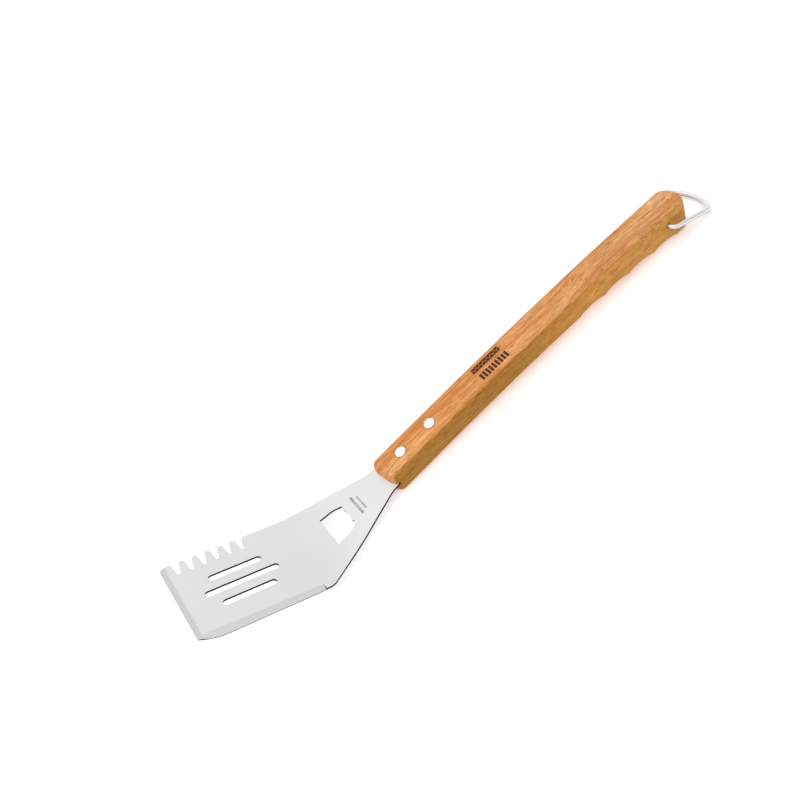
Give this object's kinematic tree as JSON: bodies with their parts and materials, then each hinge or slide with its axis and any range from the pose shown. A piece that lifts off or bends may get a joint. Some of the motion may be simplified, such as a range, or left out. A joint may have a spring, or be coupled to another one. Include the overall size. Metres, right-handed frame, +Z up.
{
  "type": "grill spatula",
  "caption": "Grill spatula: bent steel blade with cutting edge, teeth, slots and bottle opener, riveted into a shaped wooden handle with a wire hanging loop.",
  "frame": {"origin": "centre of the bounding box, on the table the spatula lies on", "axes": "+X from the blade towards the hanging loop, +Y to the toothed side of the blade, +Z up"},
  "size_m": [0.4412, 0.0692, 0.0583],
  "materials": {
    "satin_steel": "satin, sheared edges darker",
    "oiled_wood": "fine straight grain, oiled, sanded smooth",
    "rivet_aluminium": "turned and lightly polished",
    "plated_wire": "bright plated wire"
  },
  "bodies": {
    "spatula": {"handle": "oiled_wood", "blade": "satin_steel", "rivet_front": "rivet_aluminium", "rivet_rear": "rivet_aluminium"},
    "hanging_loop": {"hanging_loop": "plated_wire"}
  },
  "joints": [
    {"name": "loop_swing", "type": "hinge", "parent": "spatula", "child": "hanging_loop", "pos_m": [0.18119, 0.0052, 0.01455], "axis": [0, 1, 0], "range_deg": [-177, 139]}
  ]
}
